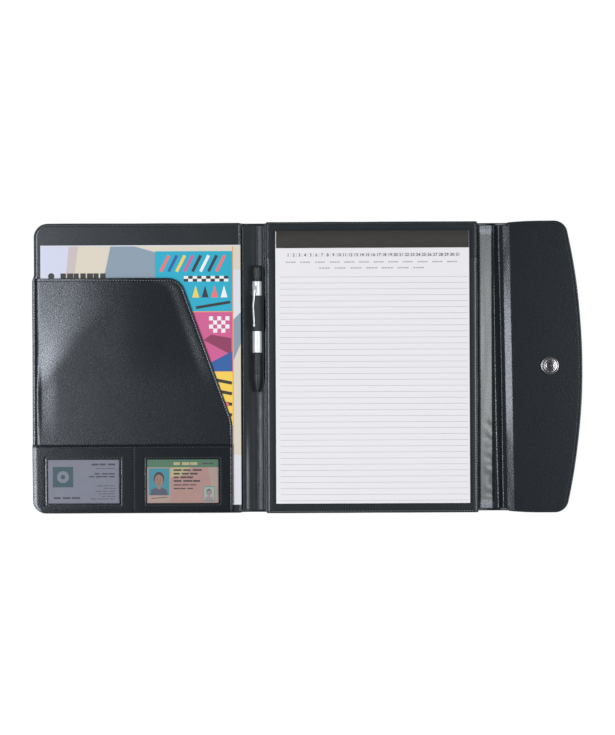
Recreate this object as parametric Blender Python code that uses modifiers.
"""Snap padfolio lying open, inside up: covers, spine, gusset, flap, pad, pen, cards and brochure."""

import math

import bmesh
import bpy
from mathutils import Vector

# Fit of pieces, metres
GAP = 0.0003
SKIN = 0.001
LINING = 0.0007
RIM = 0.001
PANEL_CORNER = 0.001

# Back cover; its height sets the other panels by their steps
BACK_LEFT = -0.0448
BACK_WIDTH = 0.229
BACK_RIGHT = BACK_LEFT + BACK_WIDTH
BACK_HEIGHT = 0.315
BACK_CORNER = 0.002
BACK_BOARD = 0.0018
FRONT_STEP = 0.002
SPINE_STEP = 0.003
GUSSET_STEP = 0.004
FLAP_STEP = 0.0005

# Fold lines: all four run along Y at one height
FOLD_Z = 0.005
SPINE_SET = 0.0015
SPINE_WIDTH = 0.0236
GUSSET_SET = 0.0008
GUSSET_WIDTH = 0.0302
SPINE_BACK_X = BACK_LEFT - SPINE_SET
FRONT_SPINE_X = SPINE_BACK_X - SPINE_WIDTH
BACK_GUSSET_X = BACK_RIGHT + GUSSET_SET
GUSSET_FLAP_X = BACK_GUSSET_X + GUSSET_WIDTH
SPINE_HEIGHT = BACK_HEIGHT - SPINE_STEP
GUSSET_HEIGHT = BACK_HEIGHT - GUSSET_STEP

# Front cover, lifted by the snap stud under it
FRONT_SET = 0.0017
FRONT_WIDTH = 0.2254
FRONT_RIGHT = FRONT_SPINE_X - FRONT_SET
FRONT_LEFT = FRONT_RIGHT - FRONT_WIDTH
FRONT_HEIGHT = BACK_HEIGHT - FRONT_STEP
FRONT_BOTTOM = FRONT_HEIGHT / -2
COVER_CORNER = 0.015
LIFT = 0.0026
FRONT_PADDING = 0.0012
FRONT_BOARD = 0.0018

# Flap
FLAP_SET = 0.0014
FLAP_REACH = 0.0805
FLAP_LEFT = GUSSET_FLAP_X + FLAP_SET
FLAP_TIP = FLAP_LEFT + FLAP_REACH
FLAP_HEIGHT = BACK_HEIGHT + FLAP_STEP
FLAP_BOW_RADIUS = 0.69
FLAP_STIFFENER = 0.0012

# Document pocket
POCKET_STEP = 0.0096
POCKET_DEPTH = 0.2536
POCKET_SLANT_WIDTH = 0.0558
POCKET_SLANT_DEPTH = 0.1547
POCKET_LEATHER = 0.0008
POCKET_SEAM = 0.0055
POCKET_TOP_FILLET = 0.019
POCKET_SIDE_FILLET = 0.04
POCKET_LEFT = FRONT_LEFT + GAP
POCKET_LOW = FRONT_BOTTOM + GAP
POCKET_TOP = FRONT_BOTTOM + POCKET_DEPTH
POCKET_RIGHT = FRONT_RIGHT - POCKET_STEP
POCKET_SLANT_TOP_X = POCKET_RIGHT - POCKET_SLANT_WIDTH
POCKET_SLANT_END_Y = POCKET_TOP - POCKET_SLANT_DEPTH
POCKET_FLOOR = POCKET_LOW + POCKET_SEAM

# Card panel: two rooms beside a sewn divider
CARD_PANEL_DEPTH = 0.0743
CARD_PANEL_TOP = FRONT_BOTTOM + CARD_PANEL_DEPTH
CARD_DIVIDER_WIDTH = 0.0065
CARD_DIVIDER_OFFSET = 0.00155
CARD_DIVIDER_X = (POCKET_LEFT + POCKET_RIGHT) / 2 + CARD_DIVIDER_OFFSET
LEFT_ROOM = (POCKET_LEFT + POCKET_SEAM, CARD_DIVIDER_X - CARD_DIVIDER_WIDTH / 2)
RIGHT_ROOM = (CARD_DIVIDER_X + CARD_DIVIDER_WIDTH / 2, POCKET_RIGHT - POCKET_SEAM)

# Contents of the pockets, each with its play in its room
LEFT_CARD_PLAY = (0.00475, 0.0069)
RIGHT_CARD_PLAY = (0.00635, 0.0055)
CARD_FOOT = 0.0018
BUSINESS_CARD_SIZE = (LEFT_ROOM[1] - LEFT_ROOM[0] - sum(LEFT_CARD_PLAY), 0.0508)
BUSINESS_CARD_THICKNESS = 0.0004
ID_CARD_SIZE = (RIGHT_ROOM[1] - RIGHT_ROOM[0] - sum(RIGHT_CARD_PLAY), 0.054)
ID_CARD_THICKNESS = 0.0006
ID_CARD_CORNER = 0.003
BROCHURE_PLAY = 0.0036
BROCHURE_FOOT = 0.0032
BROCHURE_HEAD = 0.0239
BROCHURE_LEFT = POCKET_LEFT + POCKET_SEAM + BROCHURE_PLAY
BROCHURE_BOTTOM = POCKET_FLOOR + BROCHURE_FOOT
BROCHURE_SIZE = (FRONT_RIGHT - GAP - BROCHURE_LEFT, FRONT_HEIGHT / 2 - BROCHURE_HEAD - BROCHURE_BOTTOM)
BROCHURE_SHEET = 0.0003

# Card windows, each lapping its card all round
WINDOW_Y = POCKET_FLOOR + CARD_FOOT + ID_CARD_SIZE[1] / 2
LEFT_WINDOW_X = LEFT_ROOM[0] + LEFT_CARD_PLAY[0] + BUSINESS_CARD_SIZE[0] / 2
RIGHT_WINDOW_X = RIGHT_ROOM[0] + RIGHT_CARD_PLAY[0] + ID_CARD_SIZE[0] / 2
BUSINESS_CARD_LAP = (0.00585, 0.0019)
ID_CARD_LAP = (0.0042, 0.0035)
WINDOW_CORNER = 0.0015
WINDOW_FILM = 0.0002
FILM_MARGIN = 0.0035

# Writing pad, laid in the back cover by its margins
PAD_LEFT_MARGIN = 0.0106
PAD_RIGHT_MARGIN = 0.0094
PAD_BOTTOM_MARGIN = 0.0108
PAD_TOP_MARGIN = 0.0105
PAD_LEFT = BACK_LEFT + PAD_LEFT_MARGIN
PAD_RIGHT = BACK_RIGHT - PAD_RIGHT_MARGIN
PAD_BOTTOM = PAD_BOTTOM_MARGIN - BACK_HEIGHT / 2
PAD_TOP = BACK_HEIGHT / 2 - PAD_TOP_MARGIN
PAD_POCKET_SEAM = 0.0055
PAD_BACKING = 0.0007
PAD_BLOCK = 0.0028
PAD_TOP_SHEET = 0.0002
BINDING_DEPTH = 0.0184
BINDING_EDGE = PAD_TOP - BINDING_DEPTH
BINDING_TAPE = 0.0005
BINDING_INSET = 0.001
GLUE_DEPTH = 0.0245
GLUE_STRIP_EDGE = PAD_TOP - GLUE_DEPTH
GLUE_SET = 0.0042
PAD_POCKET_TOP = GLUE_STRIP_EDGE - GLUE_SET
SHEET_TURN_RISE = 0.0002

# Pen in the spine gutter, held by its loop
PEN_SET = 0.0078
PEN_X = SPINE_BACK_X - PEN_SET
PEN_RADIUS = 0.005
LOOP_PLAY = 0.0004
LOOP_RADIUS = PEN_RADIUS + LOOP_PLAY
LOOP_BAND = 0.0007
LOOP_SEAT = 0.0004
LOOP_BOTTOM = 0.0393
LOOP_LENGTH = 0.0385
LOOP_TOP = LOOP_BOTTOM + LOOP_LENGTH
SPINE_PLAY = 0.0004
SPINE_FLOOR_Z = SKIN + GAP + LINING + SPINE_PLAY
PEN_Z = SPINE_FLOOR_Z + LOOP_SEAT + LOOP_BAND + LOOP_RADIUS
BARREL_WALL = 0.0014
BARREL_BORE = PEN_RADIUS - BARREL_WALL
BARREL_CHAMFER = (0.0004, 0.0006)
BARREL_SHOW = 0.0155
BARREL_LENGTH = 0.0771
BARREL_TOP = LOOP_TOP + BARREL_SHOW
BARREL_BOTTOM = BARREL_TOP - BARREL_LENGTH
KNOB_LENGTH = 0.0173
KNOB_STEP = 0.0002
KNOB_STEM = 0.012
KNOB_CROWN = ((0.55, 0.0005), (0.88, 0.0018), (1.0, 0.004))
KNOB_TOP = BARREL_TOP + KNOB_LENGTH
GRIP_LENGTH = 0.0379
GRIP_SPIGOT = 0.01
GRIP_SWELL = 0.0002
GRIP_TAPER_LENGTH = 0.0157
GRIP_WAIST = (0.86, 0.007)
GRIP_END = BARREL_BOTTOM - GRIP_LENGTH
GRIP_TAPER = GRIP_END + GRIP_TAPER_LENGTH
NOSE_LENGTH = 0.0049
NOSE_RADIUS = 0.0026
NOSE_STEP = 0.0001
NOSE_TIP_RADIUS = 0.0014
NOSE_BORE = 0.0008
NOSE_LIP = 0.0018
NOSE_END = GRIP_END - NOSE_LENGTH
REFILL_RADIUS = 0.0015
REFILL_PLAY = 0.0012
REFILL_TIP_RADIUS = NOSE_BORE - GAP
REFILL_TIP_SET = 0.001
REFILL_CONE = (0.005, 0.003)
CLIP_SET = 0.0048
CLIP_LENGTH = 0.0445
CLIP_ROOT = BARREL_TOP - CLIP_SET
CLIP_END = CLIP_ROOT - CLIP_LENGTH
CLIP_LEAN = math.radians(34)
CLIP_WIRE = 0.0008
CLIP_CLEARANCE = 0.0004
CLIP_RISE = LOOP_RADIUS + LOOP_BAND + CLIP_CLEARANCE + CLIP_WIRE

# Snap fastener; the stud lies where the socket comes when the padfolio is closed
SNAP_SET = 0.0355
SNAP_X = FLAP_TIP - SNAP_SET
SNAP_Y = 0.001
STUD_X = SPINE_BACK_X + FRONT_SPINE_X - (BACK_GUSSET_X + GUSSET_FLAP_X - SNAP_X)
STUD_RADIUS = 0.003
STUD_NECK = 0.0005
STUD_BULGE = 0.0006
STUD_TIP = 0.0004
STUD_FLANGE = 0.006
STUD_FLANGE_THICKNESS = 0.0006
SOCKET_HEIGHT = 0.0021
SOCKET_PLAY = 0.0006
SOCKET_BORE = STUD_RADIUS + SOCKET_PLAY
SOCKET_WALL = 0.0065
SOCKET_RADIUS = SOCKET_BORE + SOCKET_WALL
SOCKET_SINK = 0.0006
SOCKET_RIM = (0.0024, 0.0014, 0.0004)
SOCKET_RIM_DROP = (0.0002, 0.0008)
SPRING_DEPTH = 0.0012
SPRING_GROOVE = SOCKET_BORE + SPRING_DEPTH
SPRING_FLOOR = 0.0005
SPRING_WIRE = 0.00035
CAP_RADIUS = 0.0075
CAP_EDGE = 0.0006
CAP_DOME = ((0.86, 0.0008), (0.5, 0.0002))
RIVET_RADIUS = 0.0016
POST_FLANGE = 0.0008
POST_SINK = 0.0004

# Facets
CORNER_STEPS = 8
BOW_STEPS = 28
ROUND_STEPS = 32

# Layer heights, from the table up
BACK_BOARD_Z = SKIN + GAP
BACK_LINING_Z = BACK_BOARD_Z + BACK_BOARD + GAP
PAD_BACKING_Z = BACK_LINING_Z + LINING + GAP
PAD_POCKET_Z = PAD_BACKING_Z + PAD_BACKING + GAP
PAD_BLOCK_Z = PAD_POCKET_Z + LINING + GAP
TOP_SHEET_Z = PAD_BLOCK_Z + PAD_BLOCK + GAP
SHEET_TURN_Z = TOP_SHEET_Z + BINDING_TAPE + SHEET_TURN_RISE
FRONT_PADDING_Z = LIFT + SKIN + GAP
FRONT_BOARD_Z = FRONT_PADDING_Z + FRONT_PADDING + GAP
FRONT_LINING_Z = FRONT_BOARD_Z + FRONT_BOARD + GAP
BROCHURE_Z = FRONT_LINING_Z + LINING + GAP
POCKET_Z = BROCHURE_Z + 2 * (BROCHURE_SHEET + GAP)
CARD_Z = POCKET_Z + POCKET_LEATHER + GAP
FILM_Z = CARD_Z + ID_CARD_THICKNESS + GAP
CARD_PANEL_Z = FILM_Z + WINDOW_FILM + GAP
FLAP_STIFFENER_Z = LIFT + SKIN + GAP
FLAP_LINING_Z = FLAP_STIFFENER_Z + FLAP_STIFFENER + GAP
SOCKET_Z = FLAP_LINING_Z + LINING + GAP

# Gutter profiles as (X, Z): skins by their lower line, linings by their upper line
GUSSET_PLAY = 0.0005
GUSSET_FLOOR_Z = SKIN + GAP + LINING + GUSSET_PLAY
SPINE_HUMP_Z = SPINE_FLOOR_Z + 0.0006
FLAP_FACE_Z = FLAP_LINING_Z + LINING
SPINE_SKIN_LINE = [(FRONT_SPINE_X - 0.0013, LIFT), (FRONT_SPINE_X + 0.0003, LIFT - 0.0007),
                   (FRONT_SPINE_X + 0.0027, 0.0003), (FRONT_SPINE_X + 0.0051, 0.0),
                   (PEN_X - 0.0009, 0.0), (SPINE_BACK_X + 0.0007, 0.0)]
SPINE_LINING_LINE = [(FRONT_SPINE_X - 0.0007, FOLD_Z - 0.0002), (FRONT_SPINE_X + 0.0009, FOLD_Z - 0.001),
                     (FRONT_SPINE_X + 0.0027, SPINE_HUMP_Z + 0.0003), (FRONT_SPINE_X + 0.0051, SPINE_HUMP_Z),
                     (FRONT_SPINE_X + 0.0079, SPINE_HUMP_Z), (PEN_X - 0.0044, SPINE_FLOOR_Z),
                     (PEN_X + 0.0041, SPINE_FLOOR_Z), (SPINE_BACK_X - 0.0019, SPINE_HUMP_Z),
                     (SPINE_BACK_X - 0.0005, SPINE_HUMP_Z + 0.0003)]
GUSSET_SKIN_LINE = [(BACK_GUSSET_X, 0.0), (BACK_GUSSET_X + 0.01, 0.0), (GUSSET_FLAP_X - 0.0097, 0.0),
                    (GUSSET_FLAP_X - 0.0047, LIFT - 0.0018), (GUSSET_FLAP_X - 0.0018, LIFT - 0.0007),
                    (GUSSET_FLAP_X + 0.0006, LIFT)]
GUSSET_LINING_LINE = [(BACK_GUSSET_X + 0.0006, FOLD_Z - 0.001),
                      (BACK_GUSSET_X + 0.0032, GUSSET_FLOOR_Z + 0.0006),
                      (BACK_GUSSET_X + 0.0065, GUSSET_FLOOR_Z + 0.0001),
                      (BACK_GUSSET_X + 0.011, GUSSET_FLOOR_Z),
                      (GUSSET_FLAP_X - 0.0152, GUSSET_FLOOR_Z + 0.0004),
                      (GUSSET_FLAP_X - 0.0117, FOLD_Z - 0.001),
                      (GUSSET_FLAP_X - 0.0087, FLAP_FACE_Z - 0.0005),
                      (GUSSET_FLAP_X - 0.0062, FLAP_FACE_Z + 0.0007),
                      (GUSSET_FLAP_X - 0.004, FLAP_FACE_Z + 0.0011),
                      (GUSSET_FLAP_X - 0.002, FLAP_FACE_Z + 0.0007),
                      (GUSSET_FLAP_X - 0.0006, FLAP_FACE_Z + 0.0001)]


def clear_scene():
    """Remove every object so that the script can run again."""
    for item in list(bpy.data.objects):
        bpy.data.objects.remove(item, do_unlink=True)


def new_collection(name):
    """Make a collection in the scene."""
    group = bpy.data.collections.new(name)
    bpy.context.scene.collection.children.link(group)
    return group


clear_scene()
PARTS = new_collection("snap_padfolio")
CUTTERS = new_collection("cutters")


def material(name, colour, roughness, metallic=0.0):
    """Principled material with the piece's colour."""
    mat = bpy.data.materials.new(name)
    mat.use_nodes = True
    shader = mat.node_tree.nodes["Principled BSDF"]
    shader.inputs["Base Color"].default_value = (*colour, 1.0)
    shader.inputs["Roughness"].default_value = roughness
    shader.inputs["Metallic"].default_value = metallic
    return mat


LEATHER = material("black_leather", (0.022, 0.027, 0.030), 0.45)
VINYL = material("gloss_vinyl", (0.030, 0.036, 0.038), 0.22)
BOARD = material("grey_board", (0.36, 0.34, 0.31), 0.85)
FOAM = material("foam_padding", (0.55, 0.55, 0.52), 0.95)
FILM = material("clear_film", (0.85, 0.87, 0.88), 0.08)
PAPER = material("white_paper", (0.80, 0.79, 0.83), 0.75)
TAPE = material("binding_tape", (0.045, 0.037, 0.031), 0.5)
GLUE = material("padding_glue", (0.75, 0.72, 0.66), 0.6)
NICKEL = material("nickel", (0.68, 0.70, 0.72), 0.25, 1.0)
SILVER = material("silver_plastic", (0.62, 0.65, 0.68), 0.28, 0.9)
BLACK_PLASTIC = material("black_plastic", (0.03, 0.034, 0.036), 0.4)
ELASTIC = material("loop_leather", (0.028, 0.032, 0.034), 0.6)
BLUE_CARD = material("card_stock", (0.33, 0.34, 0.44), 0.5)
ID_PLASTIC = material("card_plastic", (0.72, 0.42, 0.40), 0.3)
PRINT = material("printed_paper", (0.55, 0.60, 0.62), 0.4)
INK = material("refill_plastic", (0.12, 0.14, 0.30), 0.4)


def body(name, x, y, z):
    """Empty on a moving body's joint axis, for its pieces to hang from."""
    empty = bpy.data.objects.new(name, None)
    empty.empty_display_size = 0.01
    empty.location = (x, y, z)
    PARTS.objects.link(empty)
    bpy.context.view_layer.update()
    return empty


def settle(item, parent, mat):
    """Give a piece its material and its body."""
    item.data.materials.clear()
    item.data.materials.append(mat)
    item.parent = parent
    item.matrix_parent_inverse = parent.matrix_world.inverted()
    return item


def as_cutter(item):
    """Keep an object only as a cutting shape."""
    PARTS.objects.unlink(item)
    CUTTERS.objects.link(item)
    item.hide_render = True
    item.display_type = "WIRE"
    return item


def arc(cx, cy, radius, start, end, steps):
    """Points along a circular arc, angles in radians."""
    turn = (end - start) / steps
    return [(cx + radius * math.cos(start + turn * i), cy + radius * math.sin(start + turn * i))
            for i in range(steps + 1)]


def rounded(corners):
    """Outline through (x, y, radius) corners, each rounded by its radius."""
    points = []
    count = len(corners)
    for i, (x, y, radius) in enumerate(corners):
        here = Vector((x, y))
        before = (Vector(corners[i - 1][:2]) - here).normalized()
        after = (Vector(corners[(i + 1) % count][:2]) - here).normalized()
        half = before.angle(after) / 2
        centre = here + (before + after).normalized() * (radius / math.sin(half))
        reach = radius / math.tan(half)
        start = here + before * reach - centre
        end = here + after * reach - centre
        first = math.atan2(start.y, start.x)
        turn = math.remainder(math.atan2(end.y, end.x) - first, 2 * math.pi)
        points += arc(centre.x, centre.y, radius, first, first + turn, CORNER_STEPS)
    return points


def panel(left, right, bottom, top, left_radius, right_radius):
    """Rectangle outline with its own corner radius at each side."""
    return rounded([(left, bottom, left_radius), (right, bottom, right_radius),
                    (right, top, right_radius), (left, top, left_radius)])


def flap_outline(inset):
    """Flap seen from above: straight at the gusset, bowed at its free edge."""
    half = FLAP_HEIGHT / 2 - inset
    corner = COVER_CORNER - inset
    bow = FLAP_BOW_RADIUS - inset
    centre_x = FLAP_TIP - FLAP_BOW_RADIUS
    corner_x = centre_x + math.sqrt((bow - corner) ** 2 - (half - corner) ** 2)
    lean = math.atan2(half - corner, corner_x - centre_x)
    points = [(FLAP_LEFT + inset, half), (FLAP_LEFT + inset, -half)]
    points += arc(corner_x, corner - half, corner, -math.pi / 2, -lean, CORNER_STEPS)
    points += arc(centre_x, 0, bow, -lean, lean, BOW_STEPS)[1:-1]
    points += arc(corner_x, half - corner, corner, lean, math.pi / 2, CORNER_STEPS)
    return points


def slab(name, outline, low, high):
    """Flat piece: an outline extruded between two heights."""
    curve = bpy.data.curves.new(name, "CURVE")
    curve.dimensions = "2D"
    curve.fill_mode = "BOTH"
    curve.extrude = (high - low) / 2
    spline = curve.splines.new("POLY")
    spline.points.add(len(outline) - 1)
    for point, (x, y) in zip(spline.points, outline):
        point.co = (x, y, 0, 1)
    spline.use_cyclic_u = True
    source = bpy.data.objects.new(name + "_outline", curve)
    source.location.z = (low + high) / 2
    PARTS.objects.link(source)
    bpy.context.view_layer.update()
    graph = bpy.context.evaluated_depsgraph_get()
    mesh = bpy.data.meshes.new_from_object(source.evaluated_get(graph))
    work = bmesh.new()
    work.from_mesh(mesh)
    bmesh.ops.remove_doubles(work, verts=work.verts, dist=1e-6)
    bmesh.ops.recalc_face_normals(work, faces=work.faces)
    work.to_mesh(mesh)
    work.free()
    item = bpy.data.objects.new(name, mesh)
    item.matrix_world = source.matrix_world.copy()
    bpy.data.objects.remove(source, do_unlink=True)
    PARTS.objects.link(item)
    bpy.context.view_layer.update()
    return item


def box(name, x, y, z):
    """Box between two limits on each axis."""
    return slab(name, [(x[0], y[0]), (x[1], y[0]), (x[1], y[1]), (x[0], y[1])], z[0], z[1])


def cut(item, cutter):
    """Take a cutter's shape out of a piece."""
    as_cutter(cutter)
    modifier = item.modifiers.new("cut", "BOOLEAN")
    modifier.operation = "DIFFERENCE"
    modifier.solver = "EXACT"
    modifier.object = cutter
    return item


def tray(name, outer, inner, low, floor, high):
    """Leather skin with its edge turned up round the board."""
    shell = slab(name, outer, low, high)
    return cut(shell, slab(name + "_hollow", inner, low + floor, high + SKIN))


def gutter(name, line, thickness, height):
    """Soft strip along a fold: an open profile drawn along Y, thickened downwards."""
    work = bmesh.new()
    points = [work.verts.new((x, -height / 2, z)) for x, z in line]
    edges = [work.edges.new(pair) for pair in zip(points, points[1:])]
    grown = bmesh.ops.extrude_edge_only(work, edges=edges)
    moved = [part for part in grown["geom"] if isinstance(part, bmesh.types.BMVert)]
    bmesh.ops.translate(work, verts=moved, vec=(0, height, 0))
    bmesh.ops.recalc_face_normals(work, faces=work.faces)
    work.faces.ensure_lookup_table()
    if work.faces[0].normal.z < 0:
        bmesh.ops.reverse_faces(work, faces=work.faces)
    mesh = bpy.data.meshes.new(name)
    work.to_mesh(mesh)
    work.free()
    item = bpy.data.objects.new(name, mesh)
    PARTS.objects.link(item)
    thick = item.modifiers.new("thickness", "SOLIDIFY")
    thick.thickness = abs(thickness)
    thick.offset = -1 if thickness < 0 else 1
    return item


def turned(name, profile, place, along_y=False):
    """Round piece: a profile of (radius, height) from its top down, turned about its axis."""
    mesh = bpy.data.meshes.new(name)
    work = bmesh.new()
    points = [work.verts.new((radius, 0, height)) for radius, height in profile]
    closed = profile[0][0] > 0
    pairs = list(zip(points, points[1:]))
    if closed:
        pairs.append((points[-1], points[0]))
    for pair in pairs:
        work.edges.new(pair)
    work.to_mesh(mesh)
    work.free()
    item = bpy.data.objects.new(name, mesh)
    item.location = place
    if along_y:
        item.rotation_euler.x = -math.pi / 2
    PARTS.objects.link(item)
    screw = item.modifiers.new("turn", "SCREW")
    screw.steps = ROUND_STEPS
    screw.render_steps = ROUND_STEPS
    screw.use_merge_vertices = True
    screw.merge_threshold = 1e-5
    screw.use_smooth_shade = False
    bpy.context.view_layer.update()
    return item


def drill(item, name, radius, place, low, high):
    """Round hole along Z through a piece."""
    profile = [(0, high), (radius, high), (radius, low), (0, low)]
    return cut(item, turned(name, profile, (place[0], place[1], 0)))


# Bodies, each with its empty on its joint's axis
back = body("back_body", 0, 0, 0)
spine = body("spine_body", SPINE_BACK_X, 0, FOLD_Z)
front = body("front_body", FRONT_SPINE_X, 0, FOLD_Z)
gusset = body("gusset_body", BACK_GUSSET_X, 0, FOLD_Z)
flap = body("flap_body", GUSSET_FLAP_X, 0, FOLD_Z)
pad = body("pad_body", (PAD_LEFT + PAD_RIGHT) / 2, PAD_TOP, PAD_BLOCK_Z)
sheet = body("sheet_body", (PAD_LEFT + PAD_RIGHT) / 2, BINDING_EDGE, SHEET_TURN_Z)
pen = body("pen_body", PEN_X, BARREL_TOP, PEN_Z)
knob = body("knob_body", PEN_X, BARREL_TOP, PEN_Z)
left_card = body("left_card_body", LEFT_WINDOW_X, WINDOW_Y, CARD_Z)
right_card = body("right_card_body", RIGHT_WINDOW_X, WINDOW_Y, CARD_Z)
brochure = body("brochure_body", BROCHURE_LEFT, BROCHURE_BOTTOM, BROCHURE_Z)
for child, parent in ((spine, back), (front, spine), (gusset, back), (flap, gusset), (pad, back),
                      (sheet, pad), (pen, spine), (knob, pen), (left_card, front), (right_card, front),
                      (brochure, front)):
    child.parent = parent
    child.matrix_parent_inverse = parent.matrix_world.inverted()


def back_cover():
    """Back cover: skin, board, lining and the panel that the pad's backing slides behind."""
    half = BACK_HEIGHT / 2

    def outline(inset):
        return panel(BACK_LEFT + inset, BACK_RIGHT - inset, inset - half, half - inset,
                     BACK_CORNER, BACK_CORNER)

    inner = outline(RIM)
    laid = outline(RIM + GAP)
    settle(tray("back_cover_skin", outline(0), inner, 0, SKIN, BACK_LINING_Z - GAP), back, LEATHER)
    settle(slab("back_board", laid, BACK_BOARD_Z, BACK_BOARD_Z + BACK_BOARD), back, BOARD)
    settle(slab("back_lining", outline(GAP), BACK_LINING_Z, BACK_LINING_Z + LINING), back, LEATHER)
    cover = panel(BACK_LEFT + GAP, BACK_RIGHT - GAP, GAP - half, PAD_POCKET_TOP, BACK_CORNER, BACK_CORNER)
    pocket = slab("pad_pocket_panel", cover, PAD_BACKING_Z, PAD_POCKET_Z + LINING)
    seam = PAD_POCKET_SEAM
    cut(pocket, box("pad_pocket_room", (BACK_LEFT + seam, BACK_RIGHT - seam), (seam - half, half),
                    (BACK_BOARD_Z, PAD_POCKET_Z)))
    settle(pocket, back, LEATHER)


def writing_pad():
    """Pad: backing behind the pocket panel, sheets in front, joined by glue and tape at the top."""
    across = (PAD_LEFT, PAD_RIGHT)
    along = (PAD_BOTTOM, PAD_TOP)
    settle(box("pad_backing", across, along, (PAD_BACKING_Z, PAD_BACKING_Z + PAD_BACKING)), pad, BOARD)
    strip = (GLUE_STRIP_EDGE, PAD_TOP)
    glue = box("pad_glue_strip", across, strip, (PAD_POCKET_Z, PAD_POCKET_Z + LINING))
    settle(glue, pad, GLUE)
    settle(box("pad_sheets", across, along, (PAD_BLOCK_Z, PAD_BLOCK_Z + PAD_BLOCK)), pad, PAPER)
    taped = (PAD_LEFT + BINDING_INSET, PAD_RIGHT - GAP)
    tape = box("pad_binding", taped, (BINDING_EDGE + GAP, PAD_TOP + GAP + BINDING_TAPE),
               (PAD_BACKING_Z + GAP, TOP_SHEET_Z + BINDING_TAPE))
    cut(tape, box("pad_binding_room", (PAD_LEFT - GAP, PAD_RIGHT + GAP), (BINDING_EDGE - GAP, PAD_TOP + GAP),
                  (PAD_BACKING_Z - GAP, TOP_SHEET_Z)))
    settle(tape, pad, TAPE)
    top = box("top_sheet", across, (PAD_BOTTOM, BINDING_EDGE), (TOP_SHEET_Z, TOP_SHEET_Z + PAD_TOP_SHEET))
    settle(top, sheet, PAPER)


def spine_gutter():
    """Spine: skin, soft lining and the pen loop sewn to it."""
    settle(gutter("spine_skin", SPINE_SKIN_LINE, SKIN, SPINE_HEIGHT), spine, LEATHER)
    settle(gutter("spine_lining", SPINE_LINING_LINE, -LINING, SPINE_HEIGHT), spine, LEATHER)
    outer = LOOP_RADIUS + LOOP_BAND
    band = [(outer, LOOP_TOP), (outer, LOOP_BOTTOM), (LOOP_RADIUS, LOOP_BOTTOM), (LOOP_RADIUS, LOOP_TOP)]
    settle(turned("pen_loop", band, (PEN_X, 0, PEN_Z), along_y=True), spine, ELASTIC)


def pen_pieces():
    """Twist pen: barrel, knob, grip, nose, clip and the refill that turns with the knob."""
    place = (PEN_X, 0, PEN_Z)
    bore = BARREL_BORE
    spigot = bore - GAP
    inside = REFILL_RADIUS + GAP
    barrel = [(bore, BARREL_TOP), (PEN_RADIUS - BARREL_CHAMFER[0], BARREL_TOP),
              (PEN_RADIUS, BARREL_TOP - BARREL_CHAMFER[1]), (PEN_RADIUS, BARREL_BOTTOM), (bore, BARREL_BOTTOM)]
    settle(turned("pen_barrel", barrel, place, along_y=True), pen, SILVER)
    stem_end = BARREL_TOP - KNOB_STEM
    head = PEN_RADIUS - KNOB_STEP
    top = [(0, KNOB_TOP)] + [(head * share, KNOB_TOP - drop) for share, drop in KNOB_CROWN]
    top += [(head, BARREL_TOP + GAP), (spigot, BARREL_TOP + GAP), (spigot, stem_end), (0, stem_end)]
    settle(turned("pen_knob", top, place, along_y=True), knob, BLACK_PLASTIC)
    grip_top = BARREL_BOTTOM - GAP
    grip_inside = BARREL_BOTTOM + GRIP_SPIGOT
    grip = [(inside, grip_inside), (spigot, grip_inside), (spigot, grip_top),
            (PEN_RADIUS, grip_top), (PEN_RADIUS + GRIP_SWELL, (grip_top + GRIP_TAPER) / 2),
            (PEN_RADIUS, GRIP_TAPER), (PEN_RADIUS * GRIP_WAIST[0], GRIP_TAPER - GRIP_WAIST[1]),
            (NOSE_RADIUS + NOSE_STEP, GRIP_END), (inside, GRIP_END)]
    settle(turned("pen_grip", grip, place, along_y=True), pen, BLACK_PLASTIC)
    nose = [(inside, GRIP_END - GAP), (NOSE_RADIUS, GRIP_END - GAP), (NOSE_TIP_RADIUS, NOSE_END),
            (NOSE_BORE, NOSE_END), (NOSE_BORE, NOSE_END + NOSE_LIP)]
    settle(turned("pen_nose", nose, place, along_y=True), pen, BLACK_PLASTIC)
    tip = NOSE_END + REFILL_TIP_SET
    ink_top = stem_end - REFILL_PLAY
    ink = [(0, ink_top), (REFILL_RADIUS, ink_top), (REFILL_RADIUS, GRIP_END + REFILL_CONE[0]),
           (REFILL_TIP_RADIUS, GRIP_END + REFILL_CONE[1]), (REFILL_TIP_RADIUS, tip), (0, tip)]
    settle(turned("pen_refill", ink, place, along_y=True), knob, INK)
    pen_clip()


def pen_clip():
    """Spring clip along the barrel: rises at its root, runs over the loop and ends in a ball."""
    start = PEN_RADIUS + GAP + CLIP_WIRE
    stations = 14
    curve = bpy.data.curves.new("pen_clip", "CURVE")
    curve.dimensions = "3D"
    curve.bevel_depth = CLIP_WIRE
    curve.bevel_resolution = 2
    curve.use_fill_caps = True
    spline = curve.splines.new("POLY")
    spline.points.add(stations)
    for i, point in enumerate(spline.points):
        along = i / stations
        lift = min(1.0, along / 0.2)
        reach = start + (CLIP_RISE - start) * math.sin(lift * math.pi / 2)
        ball = max(0.0, 1 - abs(along - 0.96) / 0.07)
        point.radius = 1 + 0.5 * ball
        reach += 0.5 * CLIP_WIRE * ball
        point.co = (PEN_X - reach * math.sin(CLIP_LEAN), CLIP_ROOT + (CLIP_END - CLIP_ROOT) * along,
                    PEN_Z + reach * math.cos(CLIP_LEAN), 1)
    item = bpy.data.objects.new("pen_clip", curve)
    PARTS.objects.link(item)
    weld = item.modifiers.new("weld", "WELD")
    weld.merge_threshold = 1e-6
    settle(item, pen, SILVER)


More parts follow.
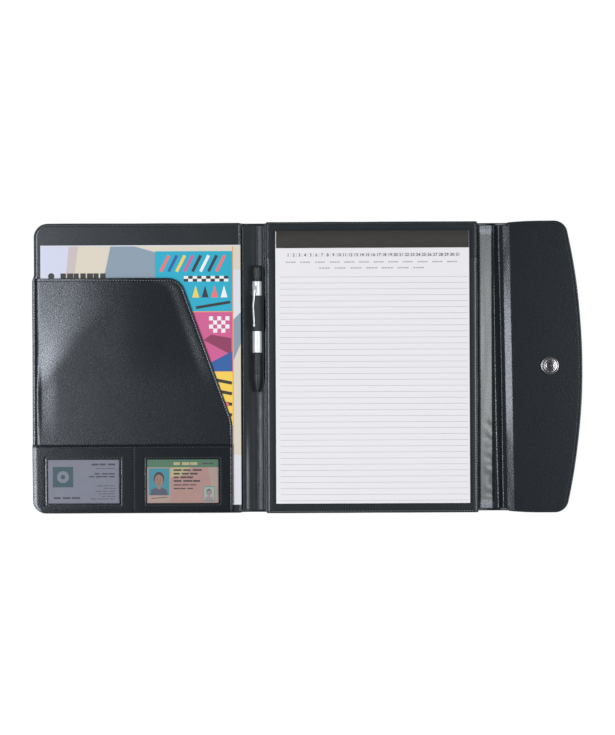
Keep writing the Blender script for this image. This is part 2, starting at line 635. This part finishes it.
def front_cover():
    """Front cover: skin, padding, board and lining."""
    half = FRONT_HEIGHT / 2

    def outline(inset):
        return panel(FRONT_LEFT + inset, FRONT_RIGHT - inset, inset - half, half - inset,
                     COVER_CORNER - inset, BACK_CORNER)

    laid = outline(RIM + GAP)
    stud = (STUD_X, SNAP_Y)
    skin = tray("front_cover_skin", outline(0), outline(RIM), LIFT, SKIN, FRONT_LINING_Z - GAP)
    drill(skin, "stud_hole", RIVET_RADIUS + GAP, stud, 0, FRONT_BOARD_Z)
    settle(skin, front, LEATHER)
    padding = slab("front_padding", laid, FRONT_PADDING_Z, FRONT_PADDING_Z + FRONT_PADDING)
    drill(padding, "stud_room", STUD_FLANGE + GAP, stud, LIFT, FRONT_LINING_Z)
    settle(padding, front, FOAM)
    settle(slab("front_board", laid, FRONT_BOARD_Z, FRONT_BOARD_Z + FRONT_BOARD), front, BOARD)
    settle(slab("front_lining", outline(GAP), FRONT_LINING_Z, FRONT_LINING_Z + LINING), front, LEATHER)


def document_pocket():
    """Pocket sewn at its left and bottom edges, open at the top and along its slant."""
    outline = rounded([(POCKET_LEFT, POCKET_LOW, COVER_CORNER), (POCKET_RIGHT, POCKET_LOW, BACK_CORNER),
                       (POCKET_RIGHT, POCKET_SLANT_END_Y, POCKET_SIDE_FILLET),
                       (POCKET_SLANT_TOP_X, POCKET_TOP, POCKET_TOP_FILLET),
                       (POCKET_LEFT, POCKET_TOP, BACK_CORNER)])
    pocket = slab("document_pocket", outline, BROCHURE_Z, POCKET_Z + POCKET_LEATHER)
    room = panel(POCKET_LEFT + POCKET_SEAM, FRONT_RIGHT, POCKET_FLOOR, FRONT_HEIGHT / 2,
                 COVER_CORNER - POCKET_SEAM, BACK_CORNER)
    cut(pocket, slab("document_room", room, FRONT_BOARD_Z, POCKET_Z))
    settle(pocket, front, LEATHER)


def card_panel():
    """Panel of two card pockets, each with a window and its clear film."""
    outline = rounded([(POCKET_LEFT, POCKET_LOW, COVER_CORNER), (POCKET_RIGHT, POCKET_LOW, BACK_CORNER),
                       (POCKET_RIGHT, CARD_PANEL_TOP, PANEL_CORNER),
                       (POCKET_LEFT, CARD_PANEL_TOP, PANEL_CORNER)])
    cover = slab("card_panel", outline, CARD_Z, CARD_PANEL_Z + LINING)
    left_corner = COVER_CORNER - POCKET_SEAM
    rooms = (("left", LEFT_ROOM, left_corner, LEFT_WINDOW_X, BUSINESS_CARD_SIZE, BUSINESS_CARD_LAP),
             ("right", RIGHT_ROOM, PANEL_CORNER, RIGHT_WINDOW_X, ID_CARD_SIZE, ID_CARD_LAP))
    for side, (start, end), radius, centre, card, lap in rooms:
        open_end = CARD_PANEL_TOP + POCKET_DEPTH
        room = rounded([(start, POCKET_FLOOR, radius), (end, POCKET_FLOOR, PANEL_CORNER),
                        (end, open_end, PANEL_CORNER), (start, open_end, PANEL_CORNER)])
        cut(cover, slab("card_room_" + side, room, POCKET_Z, CARD_PANEL_Z))
        width = card[0] - 2 * lap[0]
        height = card[1] - 2 * lap[1]
        window = panel(centre - width / 2, centre + width / 2, WINDOW_Y - height / 2, WINDOW_Y + height / 2,
                       WINDOW_CORNER, WINDOW_CORNER)
        cut(cover, slab("card_window_cut_" + side, window, CARD_PANEL_Z - GAP, CARD_PANEL_Z + SKIN))
        reach = (width / 2 + FILM_MARGIN, height / 2 + FILM_MARGIN)
        film = panel(centre - reach[0], centre + reach[0], WINDOW_Y - reach[1], WINDOW_Y + reach[1],
                     WINDOW_CORNER, WINDOW_CORNER)
        settle(slab("card_window_" + side, film, FILM_Z, FILM_Z + WINDOW_FILM), front, FILM)
    settle(cover, front, LEATHER)


def pocket_contents():
    """Two cards and the brochure."""
    width, height = BUSINESS_CARD_SIZE
    card = box("business_card", (LEFT_WINDOW_X - width / 2, LEFT_WINDOW_X + width / 2),
               (WINDOW_Y - height / 2, WINDOW_Y + height / 2), (CARD_Z, CARD_Z + BUSINESS_CARD_THICKNESS))
    settle(card, left_card, BLUE_CARD)
    width, height = ID_CARD_SIZE
    outline = panel(RIGHT_WINDOW_X - width / 2, RIGHT_WINDOW_X + width / 2, WINDOW_Y - height / 2,
                    WINDOW_Y + height / 2, ID_CARD_CORNER, ID_CARD_CORNER)
    settle(slab("id_card", outline, CARD_Z, CARD_Z + ID_CARD_THICKNESS), right_card, ID_PLASTIC)
    across = (BROCHURE_LEFT, BROCHURE_LEFT + BROCHURE_SIZE[0])
    along = (BROCHURE_BOTTOM, BROCHURE_BOTTOM + BROCHURE_SIZE[1])
    settle(box("brochure_pages", across, along, (BROCHURE_Z, BROCHURE_Z + BROCHURE_SHEET)), brochure, PAPER)
    cover_z = BROCHURE_Z + BROCHURE_SHEET + GAP
    settle(box("brochure_cover", across, along, (cover_z, cover_z + BROCHURE_SHEET)), brochure, PRINT)


def gusset_pieces():
    """Gusset: skin and glossy lining that rises to a soft ridge at the flap."""
    settle(gutter("gusset_skin", GUSSET_SKIN_LINE, SKIN, GUSSET_HEIGHT), gusset, LEATHER)
    settle(gutter("gusset_lining", GUSSET_LINING_LINE, -LINING, GUSSET_HEIGHT), gusset, VINYL)


def flap_pieces():
    """Flap: skin, stiffener and lining, pierced for the snap."""
    place = (SNAP_X, SNAP_Y)
    hole = RIVET_RADIUS + GAP
    skin = tray("flap_skin", flap_outline(0), flap_outline(RIM), LIFT, SKIN, FLAP_LINING_Z - GAP)
    stiffener = slab("flap_stiffener", flap_outline(RIM + GAP), FLAP_STIFFENER_Z,
                     FLAP_STIFFENER_Z + FLAP_STIFFENER)
    lining = slab("flap_lining", flap_outline(GAP), FLAP_LINING_Z, FLAP_LINING_Z + LINING)
    for item, mat in ((skin, LEATHER), (stiffener, BOARD), (lining, LEATHER)):
        drill(item, item.name + "_hole", hole, place, 0, SOCKET_Z + SKIN)
        settle(item, flap, mat)


def snap_pieces():
    """Snap: cap and socket with its spring on the flap, stud and rivet post on the front cover."""
    socket_top = SOCKET_Z + SOCKET_HEIGHT
    groove_low = SOCKET_Z + SPRING_FLOOR
    flap_place = (SNAP_X, SNAP_Y, 0)
    cap_top = LIFT - GAP
    cap = [(0, SOCKET_Z - GAP), (RIVET_RADIUS, SOCKET_Z - GAP), (RIVET_RADIUS, cap_top), (CAP_RADIUS, cap_top),
           (CAP_RADIUS, cap_top - CAP_EDGE)]
    cap += [(CAP_RADIUS * share, rise) for share, rise in CAP_DOME] + [(0, 0)]
    settle(turned("snap_cap", cap, flap_place), flap, NICKEL)
    sunk = socket_top - SOCKET_SINK
    socket = [(SPRING_GROOVE, sunk),
              (SOCKET_RADIUS - SOCKET_RIM[0], sunk), (SOCKET_RADIUS - SOCKET_RIM[1], socket_top),
              (SOCKET_RADIUS - SOCKET_RIM[2], socket_top - SOCKET_RIM_DROP[0]),
              (SOCKET_RADIUS, socket_top - SOCKET_RIM_DROP[1]),
              (SOCKET_RADIUS, SOCKET_Z), (SOCKET_BORE, SOCKET_Z), (SOCKET_BORE, groove_low),
              (SPRING_GROOVE, groove_low)]
    settle(turned("snap_socket", socket, flap_place), flap, NICKEL)
    snap_spring(groove_low + GAP + SPRING_WIRE)
    stud_place = (STUD_X, SNAP_Y, 0)
    flange_low = LIFT - GAP - STUD_FLANGE_THICKNESS
    hollow = RIVET_RADIUS + GAP
    stud = [(hollow, LIFT - GAP), (STUD_FLANGE, LIFT - GAP), (STUD_FLANGE, flange_low),
            (STUD_RADIUS - STUD_NECK, flange_low), (STUD_RADIUS, STUD_BULGE), (STUD_RADIUS - STUD_TIP, 0),
            (hollow, 0)]
    settle(turned("snap_stud", stud, stud_place), front, NICKEL)
    post_top = FRONT_PADDING_Z + POST_FLANGE
    post = [(0, post_top), (STUD_FLANGE, post_top), (STUD_FLANGE, FRONT_PADDING_Z),
            (RIVET_RADIUS, FRONT_PADDING_Z), (RIVET_RADIUS, POST_SINK), (0, POST_SINK)]
    settle(turned("snap_stud_post", post, stud_place), front, NICKEL)


def snap_spring(height):
    """Open wire ring on the socket's inner seat."""
    stations = 28
    opening = math.radians(30)
    radius = SPRING_GROOVE - GAP - SPRING_WIRE
    curve = bpy.data.curves.new("snap_spring", "CURVE")
    curve.dimensions = "3D"
    curve.bevel_depth = SPRING_WIRE
    curve.bevel_resolution = 2
    curve.use_fill_caps = True
    spline = curve.splines.new("POLY")
    route = arc(SNAP_X, SNAP_Y, radius, math.pi / 2 + opening, math.pi * 2.5 - opening, stations)
    spline.points.add(stations)
    for point, (x, y) in zip(spline.points, route):
        point.co = (x, y, height, 1)
    item = bpy.data.objects.new("snap_spring", curve)
    PARTS.objects.link(item)
    weld = item.modifiers.new("weld", "WELD")
    weld.merge_threshold = 1e-6
    settle(item, flap, NICKEL)


back_cover()
writing_pad()
spine_gutter()
pen_pieces()
front_cover()
document_pocket()
card_panel()
pocket_contents()
gusset_pieces()
flap_pieces()
snap_pieces()
for piece in PARTS.objects:
    if piece.type == "MESH":
        piece.data.shade_smooth()
        piece.data.set_sharp_from_angle(angle=math.radians(30))
